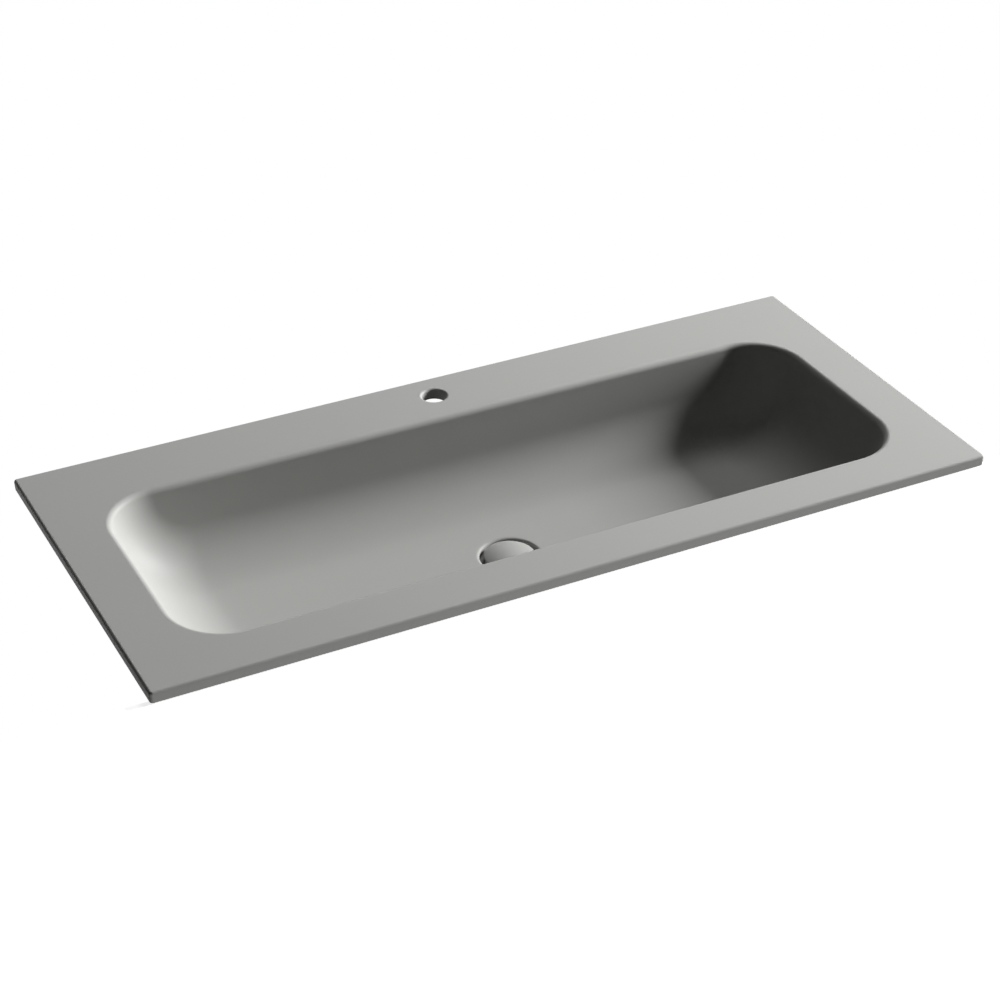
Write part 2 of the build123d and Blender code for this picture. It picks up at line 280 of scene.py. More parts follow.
def makeGrainGroup():
    # Colour and roughness that drift in clouds and fine grain, and the grain's height
    group, given, out = newGroup(
        "grain",
        [
            ("Color", "NodeSocketColor", (0.5, 0.5, 0.5, 1)),
            ("Drift", "NodeSocketFloat", 0.05),
            ("Roughness", "NodeSocketFloat", 0.5),
            ("Rough Drift", "NodeSocketFloat", 0.05),
            ("Cloud Scale", "NodeSocketFloat", 12.0),
            ("Grain Scale", "NodeSocketFloat", 900.0),
        ],
        [("Color", "NodeSocketColor"), ("Roughness", "NodeSocketFloat"), ("Height", "NodeSocketFloat")],
    )
    place = group.nodes.new("ShaderNodeTexCoord").outputs["Object"]
    clouds = noiseNode(group, place, given.outputs["Cloud Scale"], grain["cloudDetail"])
    specks = noiseNode(group, place, given.outputs["Grain Scale"], grain["fineDetail"])
    cloud = mathNode(group, "SUBTRACT", clouds, 0.5)
    fine = mathNode(group, "SUBTRACT", specks, 0.5)
    both = mathNode(group, "ADD", cloud, mathNode(group, "MULTIPLY", fine, grain["fineShare"]))
    tone = mathNode(group, "MULTIPLY_ADD", both, given.outputs["Drift"], 1.0)
    group.links.new(scaledColour(group, given.outputs["Color"], tone), out.inputs["Color"])
    rough = mathNode(group, "MULTIPLY_ADD", both, given.outputs["Rough Drift"], given.outputs["Roughness"])
    group.links.new(rough, out.inputs["Roughness"])
    group.links.new(mathNode(group, "MULTIPLY_ADD", cloud, grain["cloudHeight"], fine), out.inputs["Height"])
    return group


def makeLatheGroup():
    # Fine rings left by a turning tool round the axis of the drain: noise of the radius and the height
    group, given, out = newGroup(
        "latheRings",
        [("Rings Scale", "NodeSocketFloat", 3000.0)],
        [("Mask", "NodeSocketFloat")],
    )
    place = group.nodes.new("ShaderNodeTexCoord").outputs["Object"]
    centred = group.nodes.new("ShaderNodeVectorMath")
    centred.operation = "SUBTRACT"
    group.links.new(place, centred.inputs[0])
    centred.inputs[1].default_value = (0, drainY, 0)
    x, y, z = splitNode(group, centred.outputs[0])
    squared = mathNode(group, "MULTIPLY_ADD", y, y, mathNode(group, "MULTIPLY", x, x))
    joined = group.nodes.new("ShaderNodeCombineXYZ")
    group.links.new(mathNode(group, "SQRT", squared), joined.inputs["X"])
    group.links.new(z, joined.inputs["Y"])
    rings = noiseNode(group, joined.outputs[0], given.outputs["Rings Scale"], grain["ringDetail"],
                      grain["ringRoughness"])
    group.links.new(rings, out.inputs["Mask"])
    return group


grainGroup = makeGrainGroup()
latheGroup = makeLatheGroup()


def newMaterial(name):
    material = bpy.data.materials.new(name)
    material.use_nodes = True
    tree = material.node_tree
    return material, tree, tree.nodes["Principled BSDF"]


def placeGroup(tree, group, **values):
    node = tree.nodes.new("ShaderNodeGroup")
    node.node_tree = group
    for label, value in values.items():
        node.inputs[label.replace("_", " ")].default_value = value
    return node


def addBump(tree, shader, height, distance):
    bump = tree.nodes.new("ShaderNodeBump")
    bump.inputs["Strength"].default_value = 1.0
    bump.inputs["Distance"].default_value = distance
    tree.links.new(height, bump.inputs["Height"])
    tree.links.new(bump.outputs["Normal"], shader.inputs["Normal"])


glaze = {
    "skin": {"Color": (0.34, 0.34, 0.33, 1), "Drift": 0.035, "Roughness": 0.5, "Rough_Drift": 0.06,
             "Cloud_Scale": 9.0, "Grain_Scale": 1400.0},
    "bare": {"Color": (0.62, 0.59, 0.53, 1), "Drift": 0.12, "Roughness": 0.8, "Rough_Drift": 0.1,
             "Cloud_Scale": 30.0, "Grain_Scale": 1800.0},      # unglazed stoneware on the kiln faces
    "specular": 0.12,
    "edgeLift": 0.05,                        # how much lighter the glaze is where it runs thin
    "grainDepth": 0.02 * mm,
    "bareReach": (0.6 * mm, 0.25 * mm),      # distances from the level, where the bare ware ends and is full
    "raggedScale": 160.0, "raggedDetail": 3, "raggedDepth": 0.5 * mm,
    "facingDown": -0.9,                      # the kiln faces' normals lie below this
}


def glazeMaterial(name, bareLevels):
    # Matt glaze: drifting grey, a little lighter on edges, and bare stoneware on the faces it was fired on,
    # which lie at the given levels and face down
    material, tree, shader = newMaterial(name)
    skin = placeGroup(tree, grainGroup, **glaze["skin"])
    thin = tree.nodes.new("ShaderNodeAttribute")
    thin.attribute_name = "thin"
    lift = mathNode(tree, "MULTIPLY_ADD", thin.outputs["Fac"], glaze["edgeLift"], 1.0)
    colour, roughness = scaledColour(tree, skin.outputs["Color"], lift), skin.outputs["Roughness"]
    if bareLevels:
        body = placeGroup(tree, grainGroup, **glaze["bare"])
        place = tree.nodes.new("ShaderNodeTexCoord").outputs["Object"]
        noise = noiseNode(tree, place, glaze["raggedScale"], glaze["raggedDetail"])
        ragged = mathNode(tree, "MULTIPLY", noise, glaze["raggedDepth"])
        height = splitNode(tree, place)["Z"]
        normal = tree.nodes.new("ShaderNodeNewGeometry").outputs["Normal"]
        masks = []
        for level in bareLevels:
            away = mathNode(tree, "ABSOLUTE", mathNode(tree, "SUBTRACT", height, level))
            near = tree.nodes.new("ShaderNodeMapRange")
            near.inputs["From Min"].default_value, near.inputs["From Max"].default_value = glaze["bareReach"]
            tree.links.new(mathNode(tree, "ADD", away, ragged), near.inputs["Value"])
            masks.append(near.outputs[0])
        bare = masks[0]
        for mask in masks[1:]:
            bare = mathNode(tree, "MAXIMUM", bare, mask)
        down = mathNode(tree, "LESS_THAN", splitNode(tree, normal)["Z"], glaze["facingDown"])
        bare = mathNode(tree, "MULTIPLY", bare, down)
        colour = mixNode(tree, "RGBA", bare, colour, body.outputs["Color"])
        roughness = mixNode(tree, "FLOAT", bare, roughness, body.outputs["Roughness"])
    tree.links.new(colour, shader.inputs["Base Color"])
    tree.links.new(roughness, shader.inputs["Roughness"])
    shader.inputs["Specular IOR Level"].default_value = glaze["specular"]
    addBump(tree, shader, skin.outputs["Height"], glaze["grainDepth"])
    return material


metal = {
    "roughDrift": 0.12, "cloudScale": 60.0, "grainScale": 2500.0, "ringsScale": 2600.0, "ringsRoughness": 0.12,
    "kinds": {                               # colour, roughness, drift of the tone, depth of the rings
        "platedBrass": ((0.78, 0.78, 0.8, 1), 0.1, 0.05, 0.003 * mm),
        "bareBrass": ((0.74, 0.56, 0.29, 1), 0.26, 0.12, 0.006 * mm),
        "springSteel": ((0.58, 0.58, 0.59, 1), 0.3, 0.08, 0.003 * mm),
    },
}


def metalMaterial(name, colour, roughness, drift, ringDepth):
    # Turned metal: rings from the tool, and a tone that drifts with handling
    material, tree, shader = newMaterial(name)
    skin = placeGroup(tree, grainGroup, Color=colour, Drift=drift, Roughness=roughness,
                      Rough_Drift=metal["roughDrift"], Cloud_Scale=metal["cloudScale"],
                      Grain_Scale=metal["grainScale"])
    rings = placeGroup(tree, latheGroup, Rings_Scale=metal["ringsScale"]).outputs["Mask"]
    tree.links.new(skin.outputs["Color"], shader.inputs["Base Color"])
    uneven = mathNode(tree, "MULTIPLY_ADD", rings, metal["ringsRoughness"], skin.outputs["Roughness"])
    tree.links.new(uneven, shader.inputs["Roughness"])
    shader.inputs["Metallic"].default_value = 1.0
    addBump(tree, shader, rings, ringDepth)
    return material


moulded = {
    "roughDrift": 0.15, "cloudScale": 80.0,
    "kinds": {                               # colour, roughness, drift of the tone, grain's scale and depth
        "blackRubber": ((0.025, 0.025, 0.026, 1), 0.62, 0.2, 1500.0, 0.02 * mm),
        "whitePlastic": ((0.8, 0.8, 0.77, 1), 0.38, 0.03, 2200.0, 0.006 * mm),
    },
}


def mouldedMaterial(name, colour, roughness, drift, grainScale, depth):
    # Moulded rubber or plastic: an even colour with a fine, dull grain
    material, tree, shader = newMaterial(name)
    skin = placeGroup(tree, grainGroup, Color=colour, Drift=drift, Roughness=roughness,
                      Rough_Drift=moulded["roughDrift"], Cloud_Scale=moulded["cloudScale"],
                      Grain_Scale=grainScale)
    tree.links.new(skin.outputs["Color"], shader.inputs["Base Color"])
    tree.links.new(skin.outputs["Roughness"], shader.inputs["Roughness"])
    addBump(tree, shader, skin.outputs["Height"], depth)
    return material


sinkLow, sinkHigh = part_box("sink_top")
basinGlaze = glazeMaterial("basinGlaze", [0.0, sinkLow.z])
coverGlaze = glazeMaterial("coverGlaze", [])
platedBrass, bareBrass, springSteel = (metalMaterial(kind, *look) for kind, look in metal["kinds"].items())
blackRubber, whitePlastic = (mouldedMaterial(kind, *look) for kind, look in moulded["kinds"].items())
print("materials ready")


# Ceramic sink top

basin = {
    "halfLength": 522 * mm, "halfWidth": 175 * mm, "depth": 132 * mm, "sag": 6 * mm, "draft": math.radians(8),
    "endRadius": 130 * mm, "sideRadius": 77 * mm, "lipRadius": 9 * mm, "wall": 12 * mm, "underRoot": 9 * mm,
    "recessRadius": 41 * mm, "recessDepth": 11 * mm, "recessLip": 5 * mm, "recessFoot": 2 * mm,
    "holeRadius": 23 * mm, "holeEdge": 0.8 * mm, "bossWall": 11 * mm, "bossRoot": 5 * mm, "bossEdge": 2 * mm,
    "rimCorner": 5 * mm, "topEdge": 3.5 * mm, "lowEdge": 1.6 * mm, "sideTaper": 0.8 * mm,
    "tapRadius": 17.5 * mm, "tapSetback": 48 * mm, "tapLip": 3.5 * mm, "tapFoot": 1 * mm, "tapColumns": 96,
    "flatBand": 0.8 * mm,                    # a flat strip beside each rounding keeps the deck's shading even
    "shaftBand": 4 * mm,                     # where the shaft's own profile starts and ends
    "lipThin": 0.5, "lowEdgeThin": 0.8,      # how thin the glaze runs, as a share of the rim's upper edge
    "bandSteps": 26, "sheetSteps": 24, "roundSteps": 14, "arcSteps": 24, "bedSteps": 18, "wallSteps": 20,
    "spokeSteps": 20, "edgeSteps": 8, "cornerSteps": 16,
    "upperRows": np.concatenate([[0, 0.02], np.linspace(0.15, 1, 8)]),      # closest below the lip
    "upperShare": 0.2,                       # how much of the end's arc the upper rows take
    "wallReach": 60 * mm, "halvings": 40,    # how far up the end's wall the rounding is looked for
    "centreTries": 6,
}


def bowlSkin(skin, level, rounding):
    # One face of the bowl's shell. A sheet along X makes its floor and its ends: bed, arc, drafted wall. A
    # ball rolls between the sheet and each side wall and leaves a band: its centre is the sheet's point plus
    # radius times normal, and the band turns from the side wall's direction to the sheet's. A rounding then
    # joins all of it to the level above: its ball touches where z = level - r - r (direction's z).
    top, deep = sinkHigh.z, basin["draft"]
    big, small = basin["endRadius"] + skin, basin["sideRadius"] + skin
    lowest = top - basin["depth"] - skin
    bedRadius = (basin["halfLength"] ** 2 + basin["sag"] ** 2) / (2 * basin["sag"])
    wallX, wallY = basin["halfLength"] + skin / math.cos(deep), basin["halfWidth"] + skin / math.cos(deep)
    centreZ = top
    for _ in range(basin["centreTries"]):        # centre of the end's arc, which touches wall and bed
        centreX = wallX - (top - centreZ) * math.tan(deep) - big / math.cos(deep)
        centreZ = lowest + bedRadius - math.sqrt((bedRadius - big) ** 2 - centreX ** 2)
    lastTurn = math.acos(centreX / (bedRadius - big))
    arcLength = big * (lastTurn - deep)

    bands, sheets = basin["bandSteps"], basin["sheetSteps"]
    fan = np.tan(np.linspace(1, -1, sheets + 1) * math.pi / 4)
    across = np.concatenate([np.ones(bands), fan, -np.ones(bands)])
    t = np.arange(bands) / bands
    blend = np.concatenate([t, np.ones(sheets + 1), t[::-1]])[:, None]
    leftOrRight = np.where(across < 0, -1, 1)
    side = np.stack([0 * across, leftOrRight * math.cos(deep), 0 * across - math.sin(deep)], axis=-1)

    def surface(s):
        # Points and directions out of the air, s from the foot of the end's straight wall towards the drain
        turn = deep + np.clip(s, 0, arcLength) / big + np.maximum(s - arcLength, 0) / bedRadius
        up, onEnd = np.minimum(s, 0), s < arcLength
        endX = centreX + big * np.cos(turn) - up * math.sin(deep)
        endZ = centreZ - big * np.sin(turn) - up * math.cos(deep)
        x = np.where(onEnd, endX, bedRadius * np.cos(turn))
        z = np.where(onEnd, endZ, lowest + bedRadius * (1 - np.sin(turn)))
        out = np.stack([np.cos(turn), 0 * turn, -np.sin(turn)], axis=-1)
        direction = slerp(side, out, blend)
        spread = wallY - (top - z - small * np.sin(turn)) * math.tan(deep) - small / math.cos(deep)
        flat = np.stack(np.broadcast_arrays(x, across * spread, z), axis=-1)
        return flat + small * (direction - out), direction

    # Where each column leaves the rounding, found by halving
    near, farther = np.full(len(across), -basin["wallReach"]), np.full(len(across), arcLength / 2)
    for _ in range(basin["halvings"]):
        middle = (near + farther) / 2
        place, direction = surface(middle)
        above = place[:, 2] > level - rounding - rounding * direction[:, 2]
        near, farther = np.where(above, middle, near), np.where(above, farther, middle)

    # Rows down the end, along its arc and over the bed as far as the drain's square
    square = wallY - (top - lowest - small) * math.tan(deep) - small / math.cos(deep)
    bedX = np.concatenate([
        np.linspace(bedRadius * math.cos(lastTurn), square, basin["bedSteps"] + 1)[1:-1],
        square * fan[:sheets // 2 + 1],
    ])
    share = basin["upperShare"]
    s = np.concatenate([
        near + (arcLength * share - near) * basin["upperRows"][:, None],
        arcLength * np.linspace(share, 1, basin["arcSteps"] + 1)[1:, None] + 0 * near,
        (arcLength + bedRadius * (np.arccos(bedX / bedRadius) - lastTurn))[:, None] + 0 * near,
    ])
    place, direction = surface(s)
    mirror = np.array([-1, 1, 1])
    place = np.concatenate([place, place[-2::-1] * mirror])
    direction = np.concatenate([direction, direction[-2::-1] * mirror])

    # The two flat side walls, each between its edge on the band and a straight line below the rounding:
    # head blended into foot, plus left into right, less the same blend of the four corners
    corner, walls = basin["wallSteps"], []
    for line in (place[:, 0], place[:, -1]):
        left, right, foot = line[:corner + 1], line[::-1][:corner + 1], line[corner:len(line) - corner]
        u = ((foot[:, 0] - foot[0, 0]) / (foot[-1, 0] - foot[0, 0]))[None, :, None]
        v = np.linspace(0, 1, corner + 1)[:, None, None]
        head = line[0] + (line[-1] - line[0]) * u[0]
        wall = (1 - v) * head + v * foot + (1 - u) * left[:, None] + u * right[:, None]
        wall = wall - (1 - u) * ((1 - v) * left[0] + v * left[-1])
        walls.append(wall - u * ((1 - v) * right[0] + v * right[-1]))

    # The rounding, as rings that go once round the opening, and its flat strip
    contact = np.concatenate([place[0, :-1], walls[1][0, :-1], place[-1, :0:-1], walls[0][0, :0:-1]])
    count = walls[0].shape[1] - 1
    sides = [np.broadcast_to(side[k], (count, 3)) for k in (-1, 0)]
    outwards = np.concatenate([direction[0, :-1], sides[0], direction[-1, :0:-1], sides[1]])
    t = np.linspace(0, 1, basin["roundSteps"] + 1)[:, None, None]
    rings = contact + rounding * outwards + rounding * slerp(-outwards, np.array([0.0, 0.0, 1.0]), t)
    strip = outwards[:, :2] / np.linalg.norm(outwards[:, :2], axis=-1, keepdims=True) * basin["flatBand"]
    rings = np.concatenate([rings, rings[-1:] + np.pad(strip, ((0, 0), (0, 1)))])

    # The hole left in the middle of the floor, as a ring of points from +X +Y clockwise
    halfway = len(place) // 2
    rowA, rowB, colA, colB = halfway - sheets // 2, halfway + sheets // 2, bands, bands + sheets
    hole = np.concatenate([
        place[rowA, colA:colB], place[rowA:rowB, colB], place[rowB, colB:colA:-1], place[rowB:rowA:-1, colA],
    ])
    cells = gridFaces(len(place), len(across), ring=False).reshape(len(place) - 1, len(across) - 1, 4)
    keep = np.ones(cells.shape[:2], bool)
    keep[rowA:rowB, colA:colB] = False

    def bed(x):
        # The sagging floor's height: lowest + R - sqrt(R squared - x squared)
        return lowest + bedRadius - np.sqrt(bedRadius ** 2 - x ** 2)

    return place, cells[keep], walls, rings, hole, bed


def rectangleRing(length, width, corner):
    # A rounded rectangle, anticlockwise, as the centres of its corners and the directions from them: a point
    # of it is centre + radius times direction
    a, b = length / 2 - corner, width / 2 - corner
    corners = np.array([(a, b), (-a, b), (-a, -b), (a, -b)])
    turn = (np.arange(4)[:, None] + np.linspace(0, 1, basin["cornerSteps"] + 1)) * math.pi / 2
    centres = np.repeat(corners, basin["cornerSteps"] + 1, axis=0)
    return centres, np.stack([np.cos(turn), np.sin(turn)], axis=-1).reshape(-1, 2)


def buildSinkTop():
    # Two skins of the bowl, the drain's shaft, the rim and the tap hole, closed by the deck and the underside
    top, band, steps = sinkHigh.z, basin["flatBand"], basin["edgeSteps"]
    atDrain = (0, drainY, 0)
    parts, thin = [], []

    def add(points, faces, crown=0.0):
        # Keeps a grid of points and how thin the glaze runs in each row; gives the number of its first point
        start = sum(len(kept) for kept, _ in parts)
        parts.append((points.reshape(-1, 3), np.asarray(faces).tolist()))
        thin.append(np.broadcast_to(np.reshape(crown, (-1, 1)), points.shape[:2]).reshape(-1))
        return start

    def lastRow(start, rows, columns):
        return start + (rows - 1) * columns + np.arange(columns)

    circleTurn = math.pi / 4 - np.arange(4 * basin["sheetSteps"]) * math.pi / 2 / basin["sheetSteps"]
    circle = np.stack([np.cos(circleTurn), np.sin(circleTurn)], axis=-1)
    lipCrown = basin["lipThin"] * np.sin(np.linspace(0, math.pi, basin["roundSteps"] + 1))
    arch = np.sin(np.linspace(0, math.pi, steps + 1))
    recess, boss = basin["recessRadius"], basin["recessRadius"] + basin["bossWall"]
    skins = {                                    # skin, level and rounding above; radius and bend at the shaft
        "deck": (0.0, top, basin["lipRadius"], recess, basin["recessLip"]),
        "under": (basin["wall"], 0.0, basin["underRoot"], boss, basin["bossRoot"]),
    }
    loops, shaftEnds = {}, {}
    for name, (skin, level, rounding, shaftRadius, bend) in skins.items():
        place, faces, walls, rings, hole, bed = bowlSkin(skin, level, rounding)
        t = np.linspace(0, math.pi / 2, steps + 1)
        radius, drop = shaftRadius + bend * (1 - np.sin(t)), -bend * (1 - np.cos(t))
        edge = circle * radius[:, None, None]
        t = np.linspace(0, 1, basin["spokeSteps"] + 1)[:-1, None, None]
        flat = np.concatenate([hole[:, :2] * (1 - t) + edge[0] * t, edge])
        drop = np.concatenate([np.zeros(basin["spokeSteps"]), drop])[:, None]
        floor = np.concatenate([flat, (bed(flat[..., 0]) + drop)[..., None]], axis=-1)
        add(place + atDrain, faces)
        for wall in walls:
            add(wall + atDrain, gridFaces(*wall.shape[:2], ring=False))
        add(floor + atDrain, gridFaces(*floor.shape[:2]))
        crown = np.append(lipCrown, 0) if name == "deck" else 0.0
        start = add(rings + atDrain, gridFaces(*rings.shape[:2]), crown)
        loops[name] = [lastRow(start, *rings.shape[:2])]
        shaftEnds[name] = floor[-1]

    # Recess, hole and boss between the two skins
    seat = top - basin["depth"] - basin["recessDepth"]
    shaft = roundedProfile([
        (recess, seat + basin["shaftBand"], 0),
        (recess, seat, basin["recessFoot"]),
        (basin["holeRadius"], seat, basin["holeEdge"]),
        (basin["holeRadius"], sinkLow.z, basin["holeEdge"]),
        (boss, sinkLow.z, basin["bossEdge"]),
        (boss, sinkLow.z + basin["shaftBand"], 0),
    ])
    flat = circle * shaft[:, 0, None, None]
    height = np.broadcast_to(shaft[:, 1, None, None], flat.shape[:2] + (1,))
    between = np.concatenate([flat, height], axis=-1)
    shaftRows = np.concatenate([shaftEnds["deck"][None], between, shaftEnds["under"][None]])
    add(shaftRows + atDrain, gridFaces(*shaftRows.shape[:2]))

    # Rim, from its underside round to the deck
    centres, directions = rectangleRing(sinkHigh.x - sinkLow.x, sinkHigh.y - sinkLow.y, basin["rimCorner"])
    edge = roundedProfile([
        (-basin["sideTaper"] - basin["lowEdge"] - band, 0, 0),
        (-basin["sideTaper"], 0, basin["lowEdge"]),
        (0, top, basin["topEdge"]),
        (-basin["topEdge"] - band, top, 0),
    ], steps)
    flat = centres + directions * (basin["rimCorner"] + edge[:, 0, None, None])
    rim = np.concatenate([flat, np.broadcast_to(edge[:, 1, None, None], flat.shape[:2] + (1,))], axis=-1)
    crown = np.concatenate([[0], basin["lowEdgeThin"] * arch, arch, [0]])
    start = add(rim + (0, (sinkLow.y + sinkHigh.y) / 2, 0), gridFaces(*rim.shape[:2]), crown)
    loops["under"].append(start + np.arange(rim.shape[1]))
    loops["deck"].append(lastRow(start, *rim.shape[:2]))

    # Tap hole, from the deck down to the underside
    tap, lip, foot, columns = basin["tapRadius"], basin["tapLip"], basin["tapFoot"], basin["tapColumns"]
    bore = roundedProfile([
        (tap + lip + band, top, 0), (tap, top, lip), (tap, 0, foot), (tap + foot + band, 0, 0),
    ], steps)
    tapPoints, tapFaces = turned(bore, columns, centre=(0.0, -basin["tapSetback"]), capped=False)
    crown = np.concatenate([[0], arch, 0 * arch, [0]])
    start = add(tapPoints.reshape(len(bore), columns, 3), tapFaces, crown)
    loops["deck"].append(start + np.arange(columns))
    loops["under"].append(lastRow(start, len(bore), columns))

    # Flat faces join the surfaces on the deck and on the underside
    points = np.concatenate([kept for kept, _ in parts])
    for name in ("deck", "under"):
        order = np.concatenate(loops[name])
        filled = tessellate_polygon([[Vector(p) for p in points[loop]] for loop in loops[name]])
        parts[0][1].extend(order[np.array(filled)].tolist())
    return makePiece("sinkTop", parts, basinGlaze, "basin", ["sink_top"],
                     values={"thin": np.concatenate(thin)}, evenFlats=True)


sinkTop = buildSinkTop()
print("sink top:", len(sinkTop.data.polygons), "faces")


# Waste cover: a ceramic dome on a plated carrier

cover = {"edgeHeight": 5 * mm, "shoulder": 0.9 * mm, "foot": 0.8 * mm, "domeInset": 1 * mm, "domeRows": 40,
         "socketRadius": 18.7 * mm, "socketDepth": 1 * mm, "socketEdge": 0.2 * mm, "edgeSteps": 8,
         "columns": 128}


def buildCover():
    # The dome is the cap of a sphere: height = apex - R + sqrt(R squared - r squared)
    low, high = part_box("waste_cover")
    radius = (high.x - low.x) / 2
    shoulder = low.z + cover["edgeHeight"]
    rise = high.z - shoulder
    ball = (radius ** 2 + rise ** 2) / (2 * rise)
    r = np.linspace(poleRadius, radius - cover["domeInset"], cover["domeRows"])
    dome = np.stack([r, high.z - ball + np.sqrt(ball ** 2 - r ** 2)], axis=-1)
    socket, roof = cover["socketRadius"], low.z + cover["socketDepth"]
    side = roundedProfile([
        (*dome[-1], 0), (radius, shoulder, cover["shoulder"]), (radius, low.z, cover["foot"]),
        (socket, low.z, cover["socketEdge"]), (socket, roof, cover["socketEdge"]), (poleRadius, roof, 0),
    ], cover["edgeSteps"])
    profile = np.concatenate([dome[:-1], side])
    thin = np.zeros(len(profile))
    thin[cover["domeRows"]:cover["domeRows"] + cover["edgeSteps"] + 1] = 1      # the shoulder
    thin = np.concatenate([np.repeat(thin, cover["columns"]), [0, 0]])
    return makePiece("wasteCover", [turned(profile, cover["columns"])], coverGlaze, "plug", ["waste_cover"],
                     values={"thin": thin})


buildCover()


# Waste: flanged body with its thread and web, the rings below the ceramic, and the nut

waste = {
    "bore": 18 * mm, "flangeThickness": 2.2 * mm, "mouth": 3.3 * mm, "columns": 96, "longestRun": 4 * mm,
    "edges": (0, 0.5, 0.5, 0.9, 0.6, 1.2, 0.3, 0),       # millimetres, up the outside and down the bore
    "threadPitch": 2.309 * mm, "threadTop": 20.955 * mm, "threadMiddle": 20.216 * mm, "threadedTo": -132 * mm,
    "rowsPerTurn": 10, "crest": 0.96, "tailChamfer": 0.9 * mm, "firstRow": 0.2 * mm, "runout": 2,
    "afterThread": 0.3 * mm,
    "hubRadius": 9 * mm, "hubHole": 5.1 * mm, "hubTop": -172.8 * mm, "webHeight": 10 * mm, "hubColumns": 64,
    "hubEdges": (0.3, 0.6, 0.6, 0.3), "spokes": 4, "spokeWidth": 4 * mm, "spokeEdge": 0.7 * mm,
    "overlap": 0.5 * mm,                     # how far a spoke's ends run into the hub and the wall
}


def threadRadius(height, angle):
    # A right-hand thread of rounded triangles: its phase is height over pitch less the turn, and its
    # radius is the middle + the crest's height times arcsin(c sin phase) / arcsin c
    phase = 2 * math.pi * height / waste["threadPitch"] - angle
    wave = np.arcsin(waste["crest"] * np.sin(phase)) / math.asin(waste["crest"])
    return waste["threadMiddle"] + (waste["threadTop"] - waste["threadMiddle"]) * wave


def roundedBar(inner, outer, width, low, high, turn, rounding):
    # A bar along a radius of the drain, with a rounded rectangle for its section and flat ends: along times
    # (cos, sin) of its turn + across times (-sin, cos)
    section = roundedProfile([
        (-width / 2, low, rounding), (width / 2, low, rounding),
        (width / 2, high, rounding), (-width / 2, high, rounding),
    ], steps=4, loop=True)
    along = np.array([inner, outer])[:, None]
    across, height = section[:, 0][None, :], section[:, 1][None, :]
    x = along * math.cos(turn) - across * math.sin(turn)
    y = along * math.sin(turn) + across * math.cos(turn) + drainY
    points = np.stack([x, y, np.broadcast_to(height, x.shape)], axis=-1).reshape(-1, 3)
    count = len(section)
    faces = gridFaces(2, count).tolist() + [list(range(count)), list(range(2 * count - 1, count - 1, -1))]
    return points, faces


def buildWasteBody():
    # A turned tube: up the outside r = the least of thread, tail's cone and run-out, then a profile round the
    # flange and down the bore. The hub and its spokes stand inside it.
    low, high = wasteLow.z, wasteHigh.z
    flange, under = (wasteHigh.x - wasteLow.x) / 2, high - waste["flangeThickness"]
    bore, middle, threadedTo = waste["bore"], waste["threadMiddle"], waste["threadedTo"]
    columns = waste["columns"]
    turns = (threadedTo - low) / waste["threadPitch"]
    height = np.linspace(low + waste["firstRow"], threadedTo, int(turns * waste["rowsPerTurn"]))[:, None]
    angle = np.arange(columns)[None, :] * 2 * math.pi / columns
    cone = middle - waste["tailChamfer"] + (height - low)          # the tail's chamfer cuts the first turn
    ramp = np.clip((threadedTo - height) / (waste["runout"] * waste["threadPitch"]), 0, 1)
    radius = np.minimum(threadRadius(height, angle), cone)
    radius = np.minimum(radius, middle + (waste["threadTop"] - middle) * ramp)
    threadPart = np.stack([radius, np.broadcast_to(height, radius.shape)], axis=-1)

    upper = denser(roundedProfile(edged([
        (middle, threadedTo + waste["afterThread"]), (middle, under), (flange, under), (flange, high),
        (bore + waste["mouth"], high), (bore, high - waste["mouth"]), (bore, low),
        (middle - waste["tailChamfer"], low),
    ], waste["edges"])), waste["longestRun"])
    upperPart = np.broadcast_to(upper[:, None, :], (len(upper), columns, 2))
    profile = np.concatenate([threadPart, upperPart])

    top, bottom = waste["hubTop"], waste["hubTop"] - waste["webHeight"]
    hub = roundedProfile(edged([
        (waste["hubHole"], bottom), (waste["hubRadius"], bottom),
        (waste["hubRadius"], top), (waste["hubHole"], top),
    ], waste["hubEdges"]), steps=4, loop=True)
    surfaces = [turned(profile, columns, loop=True), turned(hub, waste["hubColumns"], loop=True)]
    for spoke in range(waste["spokes"]):
        surfaces.append(roundedBar(waste["hubRadius"] - waste["overlap"], bore + waste["overlap"],
                                   waste["spokeWidth"], bottom, top, spoke * 2 * math.pi / waste["spokes"],
                                   waste["spokeEdge"]))
    return makePiece("wasteBody", surfaces, platedBrass, "basin", ["waste_body"], sharp=50)


nut = {"hole": 20.3 * mm, "chamfer": 1.5 * mm, "edges": (0.5, 0.4, 0.4, 0.4, 0.4, 0.5), "longestRun": 0.6 * mm,
       "soft": 0.35 * mm, "columns": 192}


